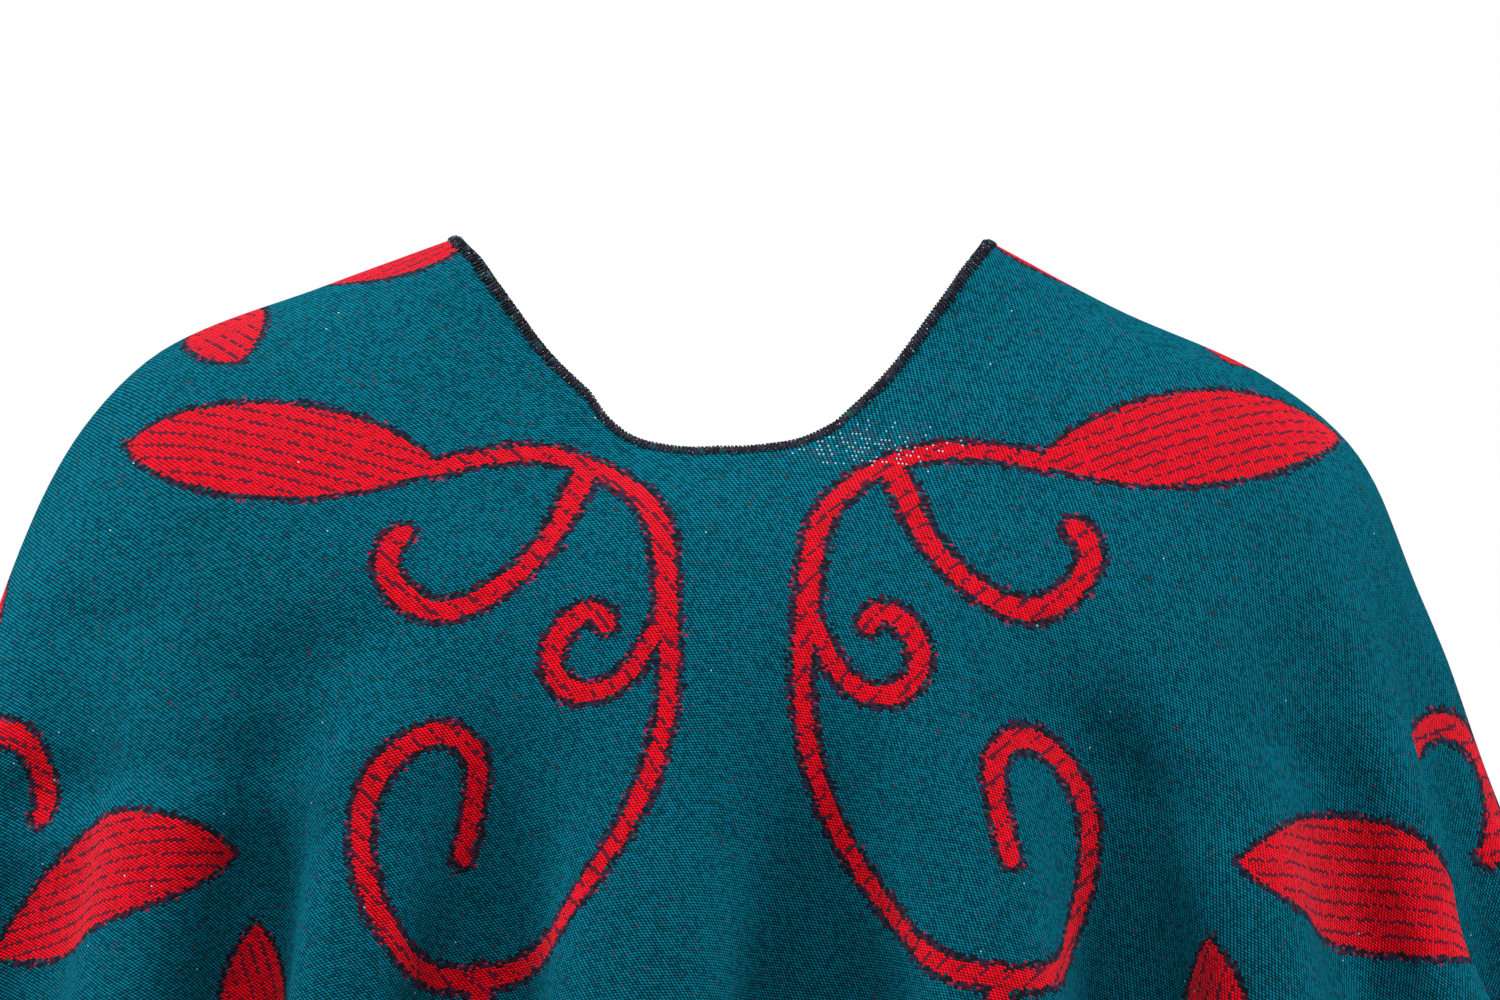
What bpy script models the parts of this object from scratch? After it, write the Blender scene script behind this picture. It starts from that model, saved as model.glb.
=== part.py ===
"""A poncho of thick woven cloth, held in the shape that it has when it is worn.

The cloth is one piece with a hole for the head, so it has no shoulder or side seam.
Its two cut edges, at the neck and at the hem, are bound by a band of overlock stitches.
Metres, +Z up, +X to the wearer's right, +Y to the wearer's front.
The origin lies between the two points where the neck edge crosses the shoulders.
"""

import math
from collections import namedtuple

import bpy
import numpy as np

# Driving sizes
CLOTH_THICKNESS = 0.0024
BAND_THICKNESS = 0.0032
BAND_WIDTH = 0.0050
SEAM_GAP = 0.0003
CORNER_DROP = 0.055

# Exponents of the neckline's drop on the wearer's right and left: 2 is a round U, and more is squarer
NECK_SHAPE_RIGHT = 2.35
NECK_SHAPE_LEFT = 2.10

# How finely the walls are divided
STEPS_PER_FOLD_SIDE = 5
# Rows of the cloth as shares of its length, closer together where it bends over the shoulders
CLOTH_ROWS = (
    0.00, 0.05, 0.10, 0.14, 0.18, 0.21, 0.24, 0.27, 0.31, 0.36, 0.42, 0.49, 0.57, 0.66, 0.76, 0.88, 1.00,
)
BAND_ROWS = (0.00, 1.00)

# Sections down the garment. reach runs from 0 at the neck to 1 at the hem.
# right, left, back and front give how far the cloth stands out from the middle, and each _z its height.
# square is the exponent of the section's outline: 2 is an ellipse, and more is boxier.
Section = namedtuple(
    "Section",
    "reach right right_z left left_z back back_z front front_z square",
)
SECTIONS = (
    Section(0.00, 0.0960, -0.001, 0.0930, 0.000, 0.052, -0.0755, 0.072, -0.130, 2.0),
    Section(0.10, 0.1430, -0.026, 0.1420, -0.018, 0.082, -0.1085, 0.104, -0.163, 2.1),
    Section(0.20, 0.1960, -0.050, 0.1980, -0.040, 0.104, -0.1500, 0.130, -0.205, 2.3),
    Section(0.27, 0.2290, -0.078, 0.2305, -0.073, 0.113, -0.1850, 0.140, -0.240, 2.4),
    Section(0.36, 0.2525, -0.130, 0.2520, -0.118, 0.121, -0.2350, 0.147, -0.290, 2.4),
    Section(0.48, 0.2740, -0.200, 0.2760, -0.195, 0.130, -0.3000, 0.155, -0.350, 2.3),
    Section(0.70, 0.3200, -0.330, 0.3250, -0.325, 0.155, -0.4300, 0.175, -0.470, 2.2),
    Section(1.00, 0.3800, -0.505, 0.3880, -0.500, 0.190, -0.6100, 0.205, -0.640, 2.1),
)

# Folds, ridge and valley in turn, by bearing in degrees from +X through +Y: the front is 90, the back 270.
# A fold begins at the reach start, stands out by middle at the reach FOLD_MIDDLE, and by hem at the hem,
# where it has moved to hem_bearing. A valley's heights are negative.
FOLD_MIDDLE = 0.44
Fold = namedtuple("Fold", "bearing hem_bearing start middle hem")
FOLDS = (
    Fold(-7.0, -3, 0.30, 0.003, 0.044),
    Fold(16.0, 14, 0.32, -0.006, -0.040),
    Fold(32.0, 30, 0.26, 0.008, 0.050),
    Fold(45.0, 47, 0.24, -0.010, -0.058),
    Fold(56.0, 58, 0.24, 0.008, 0.038),
    Fold(69.0, 67, 0.28, -0.008, -0.044),
    Fold(80.0, 80, 0.26, 0.009, 0.056),
    Fold(94.0, 94, 0.24, -0.010, -0.060),
    Fold(105.0, 106, 0.28, 0.008, 0.042),
    Fold(117.0, 116, 0.26, -0.009, -0.050),
    Fold(131.0, 130, 0.22, 0.010, 0.058),
    Fold(144.0, 146, 0.24, -0.008, -0.050),
    Fold(161.0, 163, 0.28, 0.006, 0.042),
    Fold(180.0, 180, 0.34, -0.002, -0.032),
    Fold(200.0, 196, 0.26, 0.007, 0.044),
    Fold(214.5, 211, 0.22, -0.008, -0.050),
    Fold(227.0, 225, 0.20, 0.013, 0.050),
    Fold(235.5, 236, 0.20, -0.012, -0.048),
    Fold(242.5, 245, 0.20, 0.015, 0.032),
    Fold(251.5, 255, 0.16, -0.015, -0.050),
    Fold(264.5, 267, 0.18, 0.026, 0.056),
    Fold(277.5, 278, 0.15, -0.017, -0.058),
    Fold(289.5, 289, 0.18, 0.025, 0.052),
    Fold(301.5, 300, 0.18, -0.016, -0.056),
    Fold(310.5, 311, 0.20, 0.018, 0.040),
    Fold(321.0, 320, 0.26, -0.004, -0.030),
    Fold(329.5, 331, 0.22, 0.009, 0.042),
    Fold(339.0, 343, 0.24, -0.008, -0.044),
)
# The cloth also moves sideways by this share of a fold's depth, which rounds ridges and valleys alike.
FOLD_ROUNDING = 0.22

# The cut edge behind the neck isn't a smooth U: it runs straight down from the shoulders to a flatter
# middle. Each row says how far the edge lies above the U at a share of the way from the middle line to
# the neck point, on the wearer's left and right. It fades out down the cloth.
NeckLift = namedtuple("NeckLift", "share left right")
NECK_LIFTS = (
    NeckLift(0.00, 0.0000, 0.0000),
    NeckLift(0.18, -0.0018, -0.0006),
    NeckLift(0.33, -0.0034, -0.0018),
    NeckLift(0.42, -0.0016, -0.0018),
    NeckLift(0.50, 0.0030, -0.0002),
    NeckLift(0.65, 0.0037, 0.0022),
    NeckLift(0.80, 0.0056, 0.0048),
    NeckLift(0.89, 0.0054, 0.0044),
    NeckLift(1.00, 0.0000, 0.0000),
)
NECK_LIFT_REACH = 0.16

CLOTH_COLOUR = (0.003, 0.095, 0.138, 1.0)
BAND_COLOUR = (0.010, 0.016, 0.020, 1.0)


def smooth_through(knots, values, at):
    """A monotone cubic through (knots, values), read at the numbers in at. Its slope at a knot is the
    harmonic mean of the slopes on both sides, and 0 where they differ in sign."""
    knots, values = np.asarray(knots, float), np.asarray(values, float)
    width, slope = np.diff(knots), np.diff(values) / np.diff(knots)
    same_way = slope[1:] * slope[:-1] > 0
    safe = np.where(same_way, slope[1:] + slope[:-1], 1.0)
    inner = np.where(same_way, 2 * slope[1:] * slope[:-1] / safe, 0.0)
    tangent = np.concatenate(([slope[0]], inner, [slope[-1]]))
    piece = np.clip(np.searchsorted(knots, at, side="right") - 1, 0, len(width) - 1)
    step = width[piece]
    share = np.clip((at - knots[piece]) / step, 0.0, 1.0)
    blend = share * share * (3 - 2 * share)
    rise = share * (1 - share) ** 2 * tangent[piece]
    fall = share * share * (share - 1) * tangent[piece + 1]
    return values[piece] * (1 - blend) + values[piece + 1] * blend + step * (rise + fall)


def section_column(name, reach):
    """One column of SECTIONS, read smoothly at each reach."""
    knots = [section.reach for section in SECTIONS]
    return smooth_through(knots, [getattr(section, name) for section in SECTIONS], reach)


def fold_heights(reach):
    """How far each ridge and valley stands out at each reach, one row for each fold."""
    return np.stack(
        [
            smooth_through(
                (0.0, fold.start, FOLD_MIDDLE, 1.0), (0.0, 0.0, fold.middle, fold.hem), reach
            )
            for fold in FOLDS
        ]
    )


def fold_bearings(reach):
    """The bearing of each ridge and valley at each reach, in degrees, one row for each fold."""
    share = np.clip((reach - FOLD_MIDDLE) / (1 - FOLD_MIDDLE), 0.0, 1.0)
    blend = share * share * (3 - 2 * share)
    return np.stack([fold.bearing + (fold.hem_bearing - fold.bearing) * blend for fold in FOLDS])


def neck_lift(share, right):
    """How far the back neck edge lies above the U, at each share of the way to the neck point."""
    shares, lefts, rights = zip(*NECK_LIFTS)
    return np.where(right, smooth_through(shares, rights, share), smooth_through(shares, lefts, share))


def cloth_point(column, reach):
    """The middle of the cloth's wall, as an array of x, y, z. column counts folds round the garment:
    3.5 lies halfway between fold 3 and fold 4.

    Each section is a rounded ellipse, x = width cos, y = depth sin, whose height runs from the side's
    to the middle's as 1 - |cos| to a power. Between a ridge and the next valley the cloth's outward
    offset runs as half a cosine wave, and its sideways offset as a whole sine."""
    column, reach = np.broadcast_arrays(np.asarray(column, float), np.asarray(reach, float))
    shape = column.shape
    column, reach = column.ravel() % len(FOLDS), reach.ravel()
    point = np.arange(column.size)
    here = column.astype(int)
    following = (here + 1) % len(FOLDS)
    part_way = column - here
    turn = np.where(here + 1 == len(FOLDS), 360.0, 0.0)
    bearings, heights = fold_bearings(reach), fold_heights(reach)
    first_bearing, last_bearing = bearings[here, point], bearings[following, point] + turn
    bearing = np.radians(first_bearing + (last_bearing - first_bearing) * part_way)
    first_height, last_height = heights[here, point], heights[following, point]
    rise = last_height - first_height
    outward = first_height + rise * (1 - np.cos(math.pi * part_way)) / 2
    sideways = FOLD_ROUNDING * np.abs(rise) / 2 * np.sin(2 * math.pi * part_way)

    cosine, sine = np.cos(bearing), np.sin(bearing)
    right, front = cosine >= 0, sine >= 0
    width = np.where(right, section_column("right", reach), section_column("left", reach))
    depth = np.where(front, section_column("front", reach), section_column("back", reach))
    side_z = np.where(right, section_column("right_z", reach), section_column("left_z", reach))
    middle_z = np.where(front, section_column("front_z", reach), section_column("back_z", reach))
    square = section_column("square", reach)
    boxy = (np.abs(cosine) ** square + np.abs(sine) ** square) ** (-1 / square)
    normal = np.stack([cosine * depth, sine * width])
    normal /= np.linalg.norm(normal, axis=0)
    neck_shape = np.where(right, NECK_SHAPE_RIGHT, NECK_SHAPE_LEFT)
    drop_shape = neck_shape + (2.0 - neck_shape) * reach
    x = width * cosine * boxy + normal[0] * outward - normal[1] * sideways
    y = depth * sine * boxy + normal[1] * outward + normal[0] * sideways
    z = side_z + (middle_z - side_z) * (1 - np.abs(cosine) ** drop_shape)
    z = z - CORNER_DROP * reach**2 * np.sin(2 * bearing) ** 2
    fade = np.clip(1 - reach / NECK_LIFT_REACH, 0.0, 1.0) ** 2
    z = z + np.where(front, 0.0, neck_lift(np.abs(cosine), right)) * fade
    return np.stack([x, y, z], axis=-1).reshape(*shape, 3)


def outward_normal(column, reach):
    """The unit normal of the cloth, from small steps along the column count and the reach."""
    turn, slide = 0.01, 0.001
    low, high = np.clip(reach - slide, 0.0, 1.0), np.clip(reach + slide, 0.0, 1.0)
    around = cloth_point(column + turn, reach) - cloth_point(column - turn, reach)
    down = cloth_point(column, high) - cloth_point(column, low)
    normal = np.cross(down, around)
    return normal / np.linalg.norm(normal, axis=-1, keepdims=True)


def reach_lengths(column):
    """The length of cloth from the neck to each of many reaches, at each column."""
    reach = np.linspace(0.0, 1.0, 201)
    points = cloth_point(column[None, :], reach[:, None])
    steps = np.linalg.norm(np.diff(points, axis=0), axis=-1)
    return reach, np.vstack([np.zeros(column.size), np.cumsum(steps, axis=0)])


def reach_after(column, length):
    """The reach that lies a length of cloth below the neck edge, at each column."""
    reach, lengths = reach_lengths(column)
    return np.array([np.interp(length, lengths[:, i], reach) for i in range(column.size)])


def reach_before(column, length):
    """The reach that lies a length of cloth above the hem, at each column."""
    reach, lengths = reach_lengths(column)
    wanted = lengths[-1] - length
    return np.array([np.interp(wanted[i], lengths[:, i], reach) for i in range(column.size)])


def wall(name, column, first, last, rows, thickness, finish):
    """A closed ring of cloth between two reaches, with an outer and an inner face and two edges."""
    reach = first + (last - first) * np.array(rows)[:, None]
    columns = np.broadcast_to(column, reach.shape)
    middle = cloth_point(columns, reach)
    half = outward_normal(columns, reach) * thickness / 2
    points = np.concatenate([(middle + half).reshape(-1, 3), (middle - half).reshape(-1, 3)])

    count = column.size
    row, place = np.meshgrid(np.arange(len(rows) - 1), np.arange(count), indexing="ij")
    here, right = row * count + place, row * count + (place + 1) % count
    outer = np.stack([here, here + count, right + count, right], axis=-1).reshape(-1, 4)
    inner_start = len(rows) * count
    inner = outer[:, ::-1] + inner_start
    top, top_right = here[0], right[0]
    low, low_right = here[-1] + count, right[-1] + count
    top_edge = np.stack([top, top_right, top_right + inner_start, top + inner_start], axis=-1)
    low_edge = np.stack([low, low + inner_start, low_right + inner_start, low_right], axis=-1)
    faces = np.concatenate([outer, inner, top_edge, low_edge])

    mesh = bpy.data.meshes.new(name)
    mesh.from_pydata(points.tolist(), [], faces.tolist())
    mesh.update()
    mesh.shade_smooth()
    mesh.set_sharp_from_angle(angle=math.radians(50))
    mesh.materials.append(finish)
    piece = bpy.data.objects.new(name, mesh)
    bpy.context.scene.collection.objects.link(piece)
    return piece


def material(name, colour, roughness):
    """A Principled BSDF of one colour for a piece."""
    made = bpy.data.materials.new(name)
    made.use_nodes = True
    shader = made.node_tree.nodes["Principled BSDF"]
    shader.inputs["Base Color"].default_value = colour
    shader.inputs["Roughness"].default_value = roughness
    shader.inputs["Metallic"].default_value = 0.0
    made.diffuse_color = colour
    return made


def main():
    for old in list(bpy.data.objects):
        bpy.data.objects.remove(old)
    column = np.arange(len(FOLDS) * STEPS_PER_FOLD_SIDE) / STEPS_PER_FOLD_SIDE
    neck, hem = np.zeros(column.size), np.ones(column.size)
    woven = material("woven_cloth", CLOTH_COLOUR, 0.85)
    stitched = material("overlock_stitches", BAND_COLOUR, 0.80)
    wall(
        "cloth",
        column,
        reach_after(column, BAND_WIDTH + SEAM_GAP),
        reach_before(column, BAND_WIDTH + SEAM_GAP),
        CLOTH_ROWS,
        CLOTH_THICKNESS,
        woven,
    )
    neck_seam, hem_seam = reach_after(column, BAND_WIDTH), reach_before(column, BAND_WIDTH)
    wall("neck_edging", column, neck, neck_seam, BAND_ROWS, BAND_THICKNESS, stitched)
    wall("hem_edging", column, hem_seam, hem, BAND_ROWS, BAND_THICKNESS, stitched)


main()
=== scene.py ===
# %% [markdown]
# # A woven poncho, worn by nobody
#
# The object is one piece of thick, brushed, woven cloth with a hole for the head. It hangs from two
# shoulders. The lesson goes from the cloth's shape to the thread that binds its edges, and then to the
# weave, where the red leaves and scrolls are drawn with distances worked out in the shader.
#
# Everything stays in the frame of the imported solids: metres, +Z up, +X to the wearer's right and
# +Y to the wearer's front. The camera sees the back.

# %% Load the frame
import functools
import math
from collections import namedtuple

import bpy
import mathutils
import numpy as np
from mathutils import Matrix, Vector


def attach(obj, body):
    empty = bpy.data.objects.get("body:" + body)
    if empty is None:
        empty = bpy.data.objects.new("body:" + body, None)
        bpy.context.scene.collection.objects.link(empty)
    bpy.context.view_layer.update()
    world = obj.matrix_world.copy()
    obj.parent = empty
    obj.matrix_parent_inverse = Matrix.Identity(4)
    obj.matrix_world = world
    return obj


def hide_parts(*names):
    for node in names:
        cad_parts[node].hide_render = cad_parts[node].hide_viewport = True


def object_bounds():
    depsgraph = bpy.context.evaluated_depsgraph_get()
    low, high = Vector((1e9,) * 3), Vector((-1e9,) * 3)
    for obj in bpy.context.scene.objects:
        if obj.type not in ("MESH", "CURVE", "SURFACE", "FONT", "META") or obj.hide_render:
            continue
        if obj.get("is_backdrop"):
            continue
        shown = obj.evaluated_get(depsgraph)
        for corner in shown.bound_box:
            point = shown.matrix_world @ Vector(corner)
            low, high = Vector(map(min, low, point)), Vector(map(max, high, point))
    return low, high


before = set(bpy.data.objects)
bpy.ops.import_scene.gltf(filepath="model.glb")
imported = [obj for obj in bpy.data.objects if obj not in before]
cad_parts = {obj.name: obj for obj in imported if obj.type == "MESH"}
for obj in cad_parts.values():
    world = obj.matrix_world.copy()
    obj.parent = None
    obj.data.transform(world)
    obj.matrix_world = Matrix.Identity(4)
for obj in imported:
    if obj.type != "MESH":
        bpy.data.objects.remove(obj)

cad_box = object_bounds()
print("solids reach from", [round(c, 3) for c in cad_box[0]], "to", [round(c, 3) for c in cad_box[1]])

# %% [markdown]
# ## The camera
# The picture takes in 0.54 m at the shoulders. A long lens from 2.2 m away keeps the outline as flat as
# the photograph has it. A shorter lens would show more of the sides and make the back swell.

# %% Camera
PICTURE_WIDTH = 0.54
CAMERA_DISTANCE = 2.2
CAMERA_RIGHT, CAMERA_UP = 0.0115, -0.0936

camera_data = bpy.data.cameras.new("camera")
camera_data.sensor_width = 36.0
camera_data.lens = camera_data.sensor_width * CAMERA_DISTANCE / PICTURE_WIDTH
camera = bpy.data.objects.new("camera", camera_data)
camera.location = (CAMERA_RIGHT, -CAMERA_DISTANCE, CAMERA_UP)
camera.rotation_euler = (math.radians(90), 0.0, 0.0)
bpy.context.scene.collection.objects.link(camera)
bpy.context.scene.camera = camera
print("lens", round(camera_data.lens, 1), "mm")

# %% [markdown]
# ## The shape of the worn cloth
# Worn cloth could be simulated over a body, but then its folds fall where they like. Here it is worked
# out from two short tables instead, the same ones that the solids come from: sections from the neck to
# the hem, and folds that start below the shoulders and deepen on their way down.

# %% Sections and folds
Section = namedtuple(
    "Section",
    "reach right right_z left left_z back back_z front front_z square",
)
SECTIONS = (
    Section(0.00, 0.0960, -0.001, 0.0930, 0.000, 0.052, -0.0755, 0.072, -0.130, 2.0),
    Section(0.10, 0.1430, -0.026, 0.1420, -0.018, 0.082, -0.1085, 0.104, -0.163, 2.1),
    Section(0.20, 0.1960, -0.050, 0.1980, -0.040, 0.104, -0.1500, 0.130, -0.205, 2.3),
    Section(0.27, 0.2290, -0.078, 0.2305, -0.073, 0.113, -0.1850, 0.140, -0.240, 2.4),
    Section(0.36, 0.2525, -0.130, 0.2520, -0.118, 0.121, -0.2350, 0.147, -0.290, 2.4),
    Section(0.48, 0.2740, -0.200, 0.2760, -0.195, 0.130, -0.3000, 0.155, -0.350, 2.3),
    Section(0.70, 0.3200, -0.330, 0.3250, -0.325, 0.155, -0.4300, 0.175, -0.470, 2.2),
    Section(1.00, 0.3800, -0.505, 0.3880, -0.500, 0.190, -0.6100, 0.205, -0.640, 2.1),
)

# A fold has a bearing in degrees from +X through +Y (the front is 90, the back 270), the reach where it
# starts, and how far it stands out at FOLD_MIDDLE and at the hem. A valley's heights are negative.
FOLD_MIDDLE = 0.44
Fold = namedtuple("Fold", "bearing hem_bearing start middle hem")
FOLDS = (
    Fold(-7.0, -3, 0.30, 0.003, 0.044),
    Fold(16.0, 14, 0.32, -0.006, -0.040),
    Fold(32.0, 30, 0.26, 0.008, 0.050),
    Fold(45.0, 47, 0.24, -0.010, -0.058),
    Fold(56.0, 58, 0.24, 0.008, 0.038),
    Fold(69.0, 67, 0.28, -0.008, -0.044),
    Fold(80.0, 80, 0.26, 0.009, 0.056),
    Fold(94.0, 94, 0.24, -0.010, -0.060),
    Fold(105.0, 106, 0.28, 0.008, 0.042),
    Fold(117.0, 116, 0.26, -0.009, -0.050),
    Fold(131.0, 130, 0.22, 0.010, 0.058),
    Fold(144.0, 146, 0.24, -0.008, -0.050),
    Fold(161.0, 163, 0.28, 0.006, 0.042),
    Fold(180.0, 180, 0.34, -0.002, -0.032),
    Fold(200.0, 196, 0.26, 0.007, 0.044),
    Fold(214.5, 211, 0.22, -0.008, -0.050),
    Fold(227.0, 225, 0.20, 0.013, 0.050),
    Fold(235.5, 236, 0.20, -0.012, -0.048),
    Fold(242.5, 245, 0.20, 0.015, 0.032),
    Fold(251.5, 255, 0.16, -0.015, -0.050),
    Fold(264.5, 267, 0.18, 0.026, 0.056),
    Fold(277.5, 278, 0.15, -0.017, -0.058),
    Fold(289.5, 289, 0.18, 0.025, 0.052),
    Fold(301.5, 300, 0.18, -0.016, -0.056),
    Fold(310.5, 311, 0.20, 0.018, 0.040),
    Fold(321.0, 320, 0.26, -0.004, -0.030),
    Fold(329.5, 331, 0.22, 0.009, 0.042),
    Fold(339.0, 343, 0.24, -0.008, -0.044),
)
FOLD_COUNT = len(FOLDS)
FOLD_ROUNDING = 0.22
# The cut edge behind the neck isn't a smooth U: it runs straight down from the shoulders to a flatter
# middle. Each row says how far the edge lies above the U at a share of the way from the middle line to
# the neck point, on the wearer's left and right. It fades out down the cloth.
NeckLift = namedtuple("NeckLift", "share left right")
NECK_LIFTS = (
    NeckLift(0.00, 0.0000, 0.0000),
    NeckLift(0.18, -0.0018, -0.0006),
    NeckLift(0.33, -0.0034, -0.0018),
    NeckLift(0.42, -0.0016, -0.0018),
    NeckLift(0.50, 0.0030, -0.0002),
    NeckLift(0.65, 0.0037, 0.0022),
    NeckLift(0.80, 0.0056, 0.0048),
    NeckLift(0.89, 0.0054, 0.0044),
    NeckLift(1.00, 0.0000, 0.0000),
)
NECK_LIFT_REACH = 0.16
CORNER_DROP = 0.055
NECK_SHAPE_RIGHT = 2.35
NECK_SHAPE_LEFT = 2.10
CLOTH_THICKNESS = 0.0024
print(len(SECTIONS), "sections and", FOLD_COUNT, "ridges and valleys")


# %% [markdown]
# A fold must not jerk where one row of the table ends and the next begins. A cubic that never
# overshoots joins the rows: on a cloth, a curve that overshoots shows as a dent that nobody made.

# %% Curves through the tables
def smooth_through(knots, values, at):
    """A cubic between each two knots. Its slope at a knot is the harmonic mean of the straight slopes
    on both sides, and 0 where they differ in sign, so that it rises only where the table rises."""
    knots, values = np.asarray(knots, float), np.asarray(values, float)
    width, slope = np.diff(knots), np.diff(values) / np.diff(knots)
    same_way = slope[1:] * slope[:-1] > 0
    safe = np.where(same_way, slope[1:] + slope[:-1], 1.0)
    inner = np.where(same_way, 2 * slope[1:] * slope[:-1] / safe, 0.0)
    tangent = np.concatenate(([slope[0]], inner, [slope[-1]]))
    piece = np.clip(np.searchsorted(knots, at, side="right") - 1, 0, len(width) - 1)
    step = width[piece]
    share = np.clip((at - knots[piece]) / step, 0.0, 1.0)
    blend = share * share * (3 - 2 * share)
    rise = share * (1 - share) ** 2 * tangent[piece]
    fall = share * share * (share - 1) * tangent[piece + 1]
    return values[piece] * (1 - blend) + values[piece + 1] * blend + step * (rise + fall)


def section_column(name, reach):
    """One column of SECTIONS, read smoothly at each reach."""
    knots = [section.reach for section in SECTIONS]
    return smooth_through(knots, [getattr(section, name) for section in SECTIONS], reach)


def fold_heights(reach):
    """How far each fold stands out at each reach, a row for each fold."""
    levels = [
        smooth_through((0.0, fold.start, FOLD_MIDDLE, 1.0), (0.0, 0.0, fold.middle, fold.hem), reach)
        for fold in FOLDS
    ]
    return np.stack(levels)


def fold_bearings(reach):
    """The bearing of each fold at each reach, in degrees, eased from FOLD_MIDDLE to the hem."""
    share = np.clip((reach - FOLD_MIDDLE) / (1 - FOLD_MIDDLE), 0.0, 1.0)
    blend = share * share * (3 - 2 * share)
    return np.stack([fold.bearing + (fold.hem_bearing - fold.bearing) * blend for fold in FOLDS])


# %% [markdown]
# One function gives the middle of the cloth at any column and reach. The column counts folds round the
# garment, so 3.5 lies halfway between fold 3 and fold 4, and the reach runs from 0 at the neck to 1 at
# the hem. Every piece below is read from this surface, so the edging follows each fold by itself.

# %% The surface
def neck_lift(share, right):
    """How far the back neck edge lies above the U, at each share of the way to the neck point."""
    shares, lefts, rights = zip(*NECK_LIFTS)
    return np.where(right, smooth_through(shares, rights, share), smooth_through(shares, lefts, share))


def cloth_point(column, reach):
    """x = width cos b, y = depth sin b, both times (|cos b|^n + |sin b|^n)^(-1/n), where b is the
    bearing; the height goes from the side's to the middle's as 1 - |cos b|^m. A fold moves the point
    out by half a cosine wave from ridge to valley, and sideways by a whole sine, which rounds it."""
    column, reach = np.broadcast_arrays(np.asarray(column, float), np.asarray(reach, float))
    shape = column.shape
    column, reach = column.ravel() % FOLD_COUNT, reach.ravel()
    point = np.arange(column.size)
    here = column.astype(int)
    following = (here + 1) % FOLD_COUNT
    part_way = column - here
    turn = np.where(here + 1 == FOLD_COUNT, 360.0, 0.0)
    bearings, heights = fold_bearings(reach), fold_heights(reach)
    first_bearing, last_bearing = bearings[here, point], bearings[following, point] + turn
    bearing = np.radians(first_bearing + (last_bearing - first_bearing) * part_way)
    first_height, last_height = heights[here, point], heights[following, point]
    rise = last_height - first_height
    outward = first_height + rise * (1 - np.cos(math.pi * part_way)) / 2
    sideways = FOLD_ROUNDING * np.abs(rise) / 2 * np.sin(2 * math.pi * part_way)

    cosine, sine = np.cos(bearing), np.sin(bearing)
    right, front = cosine >= 0, sine >= 0
    width = np.where(right, section_column("right", reach), section_column("left", reach))
    depth = np.where(front, section_column("front", reach), section_column("back", reach))
    side_z = np.where(right, section_column("right_z", reach), section_column("left_z", reach))
    middle_z = np.where(front, section_column("front_z", reach), section_column("back_z", reach))
    square = section_column("square", reach)
    boxy = (np.abs(cosine) ** square + np.abs(sine) ** square) ** (-1 / square)
    normal = np.stack([cosine * depth, sine * width])
    normal /= np.linalg.norm(normal, axis=0)
    neck_shape = np.where(right, NECK_SHAPE_RIGHT, NECK_SHAPE_LEFT)
    drop_shape = neck_shape + (2.0 - neck_shape) * reach
    x = width * cosine * boxy + normal[0] * outward - normal[1] * sideways
    y = depth * sine * boxy + normal[1] * outward + normal[0] * sideways
    z = side_z + (middle_z - side_z) * (1 - np.abs(cosine) ** drop_shape)
    z = z - CORNER_DROP * reach**2 * np.sin(2 * bearing) ** 2
    fade = np.clip(1 - reach / NECK_LIFT_REACH, 0.0, 1.0) ** 2
    z = z + np.where(front, 0.0, neck_lift(np.abs(cosine), right)) * fade
    return np.stack([x, y, z], axis=-1).reshape(*shape, 3)


def column_at(bearing):
    """The column that starts at a bearing in degrees, on the upper part of the garment."""
    starts = [fold.bearing for fold in FOLDS] + [FOLDS[0].bearing + 360]
    return float(np.interp((bearing - starts[0]) % 360 + starts[0], starts, range(FOLD_COUNT + 1)))


LENGTH_SAMPLES = 101


def reach_at_length(column, length, from_hem=False, span=1.0):
    """The reach that lies a length of cloth below the neck edge, or above the hem, at each column.
    The length must lie within that span of the reach from the edge."""
    reach = np.linspace(0.0, span, LENGTH_SAMPLES)
    if from_hem:
        reach = 1.0 - reach
    points = cloth_point(column[None, :], reach[:, None])
    steps = np.linalg.norm(np.diff(points, axis=0), axis=-1)
    lengths = np.vstack([np.zeros(column.size), np.cumsum(steps, axis=0)])
    return np.stack([np.interp(length, lengths[:, i], reach) for i in range(column.size)], axis=-1)


# %% [markdown]
# ## Where the flat pattern lands on the worn cloth
# The weaver made the cloth flat, so its threads and leaves keep their size wherever the cloth hangs.
# A plain projection would stretch them on the sides. So the four quarters of the garment are laid flat
# in turn: each small triangle keeps its own shape and only turns, and one least-squares step joins them
# again. Repeating both steps a few times gives each point its place in the flat cloth, in metres.

# %% Laying a quarter flat
CHART_STEPS_PER_FOLD = 5
CHART_ROWS = 27
FLAT_BACK_NECK = 0.0755
FLAT_FRONT_NECK = 0.1300
FLAT_NECK_HALF = 0.095
FIRST_OPENING = 70


def quarter_triangles(rows, columns):
    """Two triangles for each cell of a grid of points, as rows of three point numbers."""
    corner = (np.arange(rows - 1)[:, None] * columns + np.arange(columns - 1)).ravel()
    first = np.stack([corner, corner + 1, corner + columns], axis=1)
    second = np.stack([corner + 1, corner + columns + 1, corner + columns], axis=1)
    return np.concatenate([first, second])


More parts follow.
